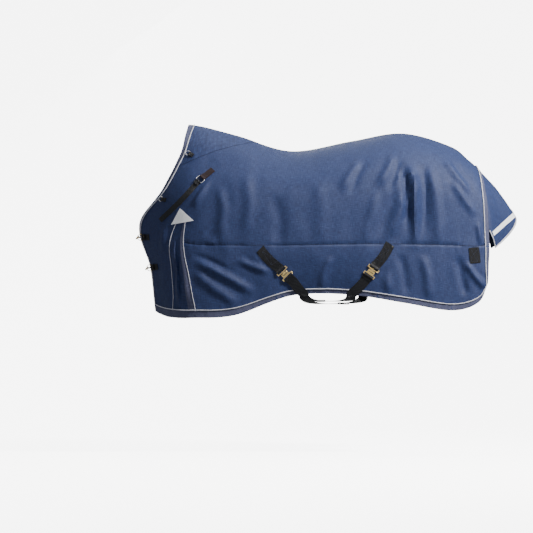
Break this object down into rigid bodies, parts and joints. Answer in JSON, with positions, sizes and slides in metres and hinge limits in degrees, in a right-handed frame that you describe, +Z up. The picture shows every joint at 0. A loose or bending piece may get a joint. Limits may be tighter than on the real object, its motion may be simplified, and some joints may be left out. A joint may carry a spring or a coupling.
{
  "type": "turnout rug",
  "caption": "Quilted outdoor horse rug: padded body, tail flap, chest snap closures, shoulder straps and crossed belly straps.",
  "frame": {"origin": "the point of the horse's spine where the back dips, on the rug's outer face above it", "axes": "+X towards the tail, +Y towards the horse's right side, +Z up; the horse's left side is at -Y"},
  "size_m": [1.9224, 0.6878, 0.9803],
  "materials": {
    "shell_cloth": "heathered navy ripstop, matt, lightly coated",
    "lining_cloth": "smooth dark blue nylon lining",
    "fill": "loose white polyester wadding",
    "binding_tape": "grey-blue woven binding tape",
    "piping": "pale grey corded piping",
    "reflective": "white retro-reflective tape",
    "webbing": "black woven polypropylene webbing",
    "label_patch": "plain woven patch, no lettering",
    "brass": "polished cast brass, lightly worn",
    "nickel": "nickel-plated wire"
  },
  "bodies": {
    "rug": {"chest_ring_patch_lower": "webbing", "chest_ring_patch_upper": "webbing", "chest_strap_lower": "webbing", "chest_strap_upper": "webbing", "chest_swivel_lower": "brass", "chest_swivel_upper": "brass", "edge_binding_left": "binding_tape", "edge_binding_right": "binding_tape", "edge_piping_left": "piping", "edge_piping_right": "piping", "front_far_patch": "webbing", "front_surcingle_strap": "webbing", "front_surcingle_tab": "webbing", "gusset_binding_left": "binding_tape", "gusset_binding_right": "binding_tape", "gusset_left": "shell_cloth", "gusset_right": "shell_cloth", "insulation": "fill", "leg_strap_anchor_left": "webbing", "leg_strap_anchor_right": "webbing", "lining": "lining_cloth", "main_panel": "shell_cloth", "neck_binding": "binding_tape", "neck_piping": "piping", "neck_ring_tab_lower_left": "webbing", "neck_ring_tab_lower_right": "webbing", "neck_ring_tab_upper_left": "webbing", "neck_ring_tab_upper_right": "webbing", "rear_far_patch": "webbing", "rear_surcingle_strap": "webbing", "rear_surcingle_tab": "webbing", "reflective_triangle_left": "reflective", "reflective_triangle_right": "reflective", "shoulder_label_left": "label_patch", "shoulder_label_right": "label_patch", "shoulder_ring_left": "nickel", "shoulder_ring_right": "nickel", "shoulder_strap_left": "webbing", "shoulder_strap_right": "webbing", "side_panel_left": "shell_cloth", "side_panel_right": "shell_cloth", "withers_panel": "shell_cloth"},
    "tail_flap_body": {"tail_flap": "shell_cloth", "tail_reflective_strip": "reflective"},
    "neck_ring_upper_left_body": {"neck_ring_upper_left": "nickel"},
    "neck_ring_lower_left_body": {"neck_ring_lower_left": "nickel"},
    "neck_ring_upper_right_body": {"neck_ring_upper_right": "nickel"},
    "neck_ring_lower_right_body": {"neck_ring_lower_right": "nickel"},
    "chest_ring_upper_body": {"chest_ring_upper": "brass"},
    "chest_snap_upper_body": {"chest_snap_upper": "brass"},
    "chest_snap_gate_upper_body": {"chest_snap_gate_upper": "brass"},
    "chest_ring_lower_body": {"chest_ring_lower": "brass"},
    "chest_snap_lower_body": {"chest_snap_lower": "brass"},
    "chest_snap_gate_lower_body": {"chest_snap_gate_lower": "brass"},
    "front_hook_plate_body": {"front_hook_plate": "brass"},
    "front_eye_plate_body": {"front_eye_plate": "brass"},
    "front_strap_slide_body": {"front_strap_slide": "nickel"},
    "rear_hook_plate_body": {"rear_hook_plate": "brass"},
    "rear_eye_plate_body": {"rear_eye_plate": "brass"},
    "rear_strap_slide_body": {"rear_strap_slide": "nickel"}
  },
  "joints": [
    {"name": "tail_flap_lift", "type": "hinge", "parent": "rug", "child": "tail_flap_body", "pos_m": [0.84835, 0, -0.08488], "axis": [0, -1, 0], "range_deg": [0, 35]},
    {"name": "neck_ring_upper_left_swing", "type": "hinge", "parent": "rug", "child": "neck_ring_upper_left_body", "pos_m": [-0.61682, -0.14682, -0.00323], "axis": [0.5414, 0.2442, 0.8045], "range_deg": [0, 60]},
    {"name": "neck_ring_lower_left_swing", "type": "hinge", "parent": "rug", "child": "neck_ring_lower_left_body", "pos_m": [-0.75477, -0.15745, -0.23363], "axis": [0.2193, -0.0111, 0.9756], "range_deg": [0, 60]},
    {"name": "neck_ring_upper_right_swing", "type": "hinge", "parent": "rug", "child": "neck_ring_upper_right_body", "pos_m": [-0.61682, 0.14682, -0.00323], "axis": [-0.5414, 0.2442, -0.8045], "range_deg": [0, 60]},
    {"name": "neck_ring_lower_right_swing", "type": "hinge", "parent": "rug", "child": "neck_ring_lower_right_body", "pos_m": [-0.75477, 0.15745, -0.23363], "axis": [-0.2193, -0.0111, -0.9756], "range_deg": [0, 60]},
    {"name": "chest_ring_upper_swing", "type": "hinge", "parent": "rug", "child": "chest_ring_upper_body", "pos_m": [-0.85476, -0.05949, -0.42423], "axis": [0.102, 0.1208, -0.9874], "range_deg": [0, 6]},
    {"name": "chest_snap_upper_swivel", "type": "hinge", "parent": "rug", "child": "chest_snap_upper_body", "pos_m": [-0.8805, -0.0566, -0.42653], "axis": [0.2145, 0.9764, 0.0244], "range_deg": [0, 20]},
    {"name": "chest_snap_gate_upper_slide", "type": "slide", "parent": "chest_snap_upper_body", "child": "chest_snap_gate_upper_body", "axis": [0.2145, 0.9764, 0.0244], "range_m": [0, 0.006], "stiffness_N_per_m": 200, "springref_m": -0.003},
    {"name": "chest_ring_lower_swing", "type": "hinge", "parent": "rug", "child": "chest_ring_lower_body", "pos_m": [-0.80751, -0.06916, -0.57725], "axis": [0.1812, 0.053, -0.982], "range_deg": [0, 6]},
    {"name": "chest_snap_lower_swivel", "type": "hinge", "parent": "rug", "child": "chest_snap_lower_body", "pos_m": [-0.83254, -0.0636, -0.58157], "axis": [0.1814, 0.9828, 0.0359], "range_deg": [0, 20]},
    {"name": "chest_snap_gate_lower_slide", "type": "slide", "parent": "chest_snap_lower_body", "child": "chest_snap_gate_lower_body", "axis": [0.1814, 0.9828, 0.0359], "range_m": [0, 0.006], "stiffness_N_per_m": 200, "springref_m": -0.003},
    {"name": "front_hook_plate_fold", "type": "hinge", "parent": "rug", "child": "front_hook_plate_body", "pos_m": [-0.15425, -0.33818, -0.59167], "axis": [-0.7029, 0.105, -0.7035], "range_deg": [0, 60]},
    {"name": "front_eye_plate_fold", "type": "hinge", "parent": "rug", "child": "front_eye_plate_body", "pos_m": [-0.11869, -0.33312, -0.62645], "axis": [0.7029, -0.105, 0.7035], "range_deg": [0, 60]},
    {"name": "front_strap_slide_adjust", "type": "slide", "parent": "rug", "child": "front_strap_slide_body", "axis": [-0.4358, -0.8987, -0.0483], "range_m": [-0.01, 0.01]},
    {"name": "rear_hook_plate_fold", "type": "hinge", "parent": "rug", "child": "rear_hook_plate_body", "pos_m": [0.30963, -0.33524, -0.57873], "axis": [-0.8196, -0.1011, 0.564], "range_deg": [0, 60]},
    {"name": "rear_eye_plate_fold", "type": "hinge", "parent": "rug", "child": "rear_eye_plate_body", "pos_m": [0.28113, -0.33312, -0.61976], "axis": [0.8196, 0.1011, -0.564], "range_deg": [0, 60]},
    {"name": "rear_strap_slide_adjust", "type": "slide", "parent": "rug", "child": "rear_strap_slide_body", "axis": [0.339, -0.9394, -0.0505], "range_m": [-0.01, 0.01]}
  ]
}
